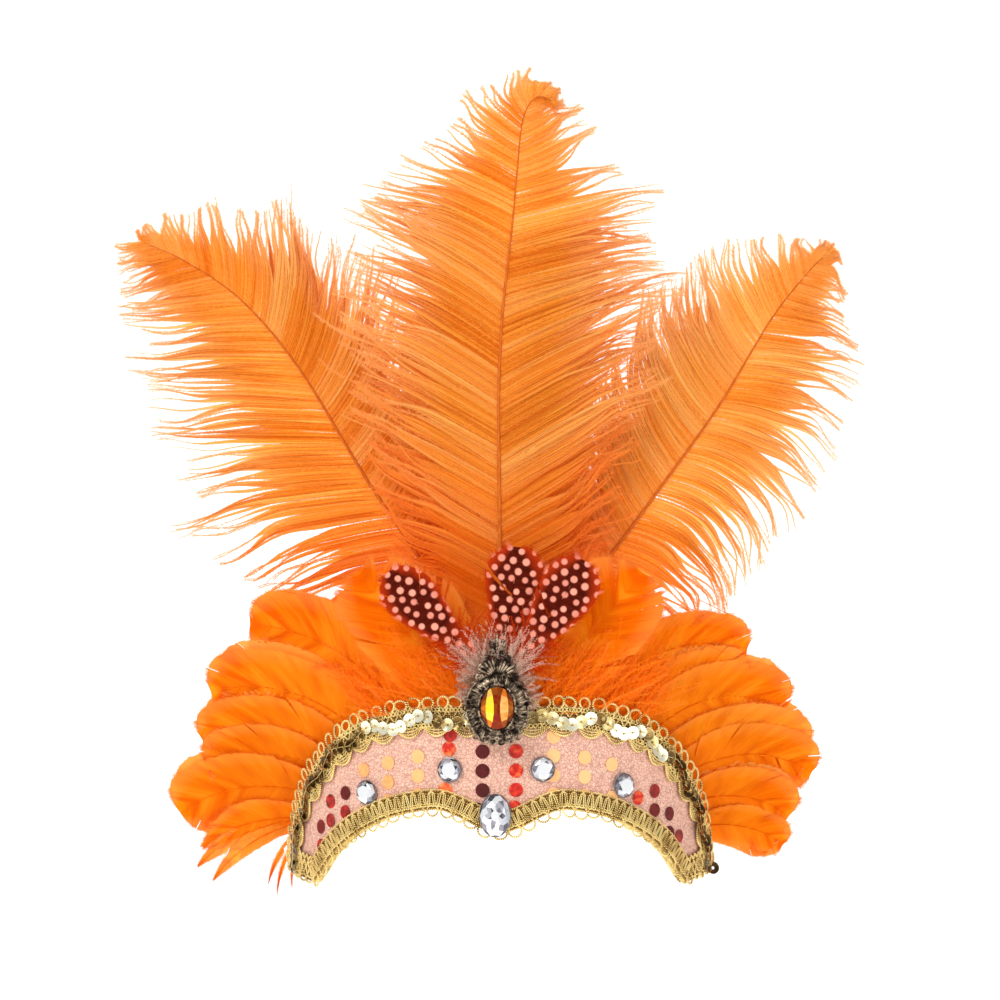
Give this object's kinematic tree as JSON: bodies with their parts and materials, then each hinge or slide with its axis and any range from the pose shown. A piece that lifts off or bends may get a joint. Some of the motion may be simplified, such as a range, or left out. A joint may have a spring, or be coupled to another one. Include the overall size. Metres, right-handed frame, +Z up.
{
  "type": "carnival feather headdress",
  "caption": "Crescent forehead band with net fabric, gold braid, stones and a brooch, worn upright and carrying a fan of tall plumes and curled side feathers.",
  "frame": {"origin": "middle of the band's inner face at the front, where the forehead bears on it", "axes": "+Z up along the plumes, +Y to the back of the head, +X to the right as seen from the front"},
  "size_m": [0.3195, 0.1219, 0.3514],
  "materials": {
    "band_fabric": "stiff backed fabric",
    "net_fabric": "net over satin with flat sequins",
    "gold_braid": "metallic gold cord",
    "gold_sequin": "mirror-like metallised film",
    "comb_plastic": "smooth dark plastic",
    "antique_metal": "darkened antique brass",
    "amber_stone": "cut and polished",
    "clear_stone": "cut, polished, foil backed",
    "down": "soft grey-pink down",
    "guinea_feather": "dark red feather with pale spots",
    "ostrich_feather": "soft orange feather",
    "goose_feather": "smooth orange feather with a soft sheen"
  },
  "bodies": {
    "root": {"band": "band_fabric", "sequined_cover": "net_fabric", "upper_braid": "gold_braid", "lower_braid": "gold_braid", "sequin_trim": "gold_sequin", "hair_comb": "comb_plastic", "brooch_setting": "antique_metal", "amber_stone": "amber_stone", "drop_stone": "clear_stone", "rhinestone_1": "clear_stone", "rhinestone_2": "clear_stone", "rhinestone_3": "clear_stone", "rhinestone_4": "clear_stone", "down_tuft": "down", "guinea_feather_left": "guinea_feather", "guinea_feather_centre": "guinea_feather", "guinea_feather_right": "guinea_feather", "ostrich_plume_left": "ostrich_feather", "ostrich_plume_centre": "ostrich_feather", "ostrich_plume_right": "ostrich_feather", "base_fluff_left": "goose_feather", "base_fluff_right": "goose_feather", "side_feather_left_1": "goose_feather", "side_feather_left_2": "goose_feather", "side_feather_left_3": "goose_feather", "side_feather_left_4": "goose_feather", "side_feather_left_5": "goose_feather", "side_feather_left_6": "goose_feather", "side_feather_right_1": "goose_feather", "side_feather_right_2": "goose_feather", "side_feather_right_3": "goose_feather", "side_feather_right_4": "goose_feather", "side_feather_right_5": "goose_feather", "side_feather_right_6": "goose_feather", "side_feather_right_7": "goose_feather"}
  },
  "joints": []
}
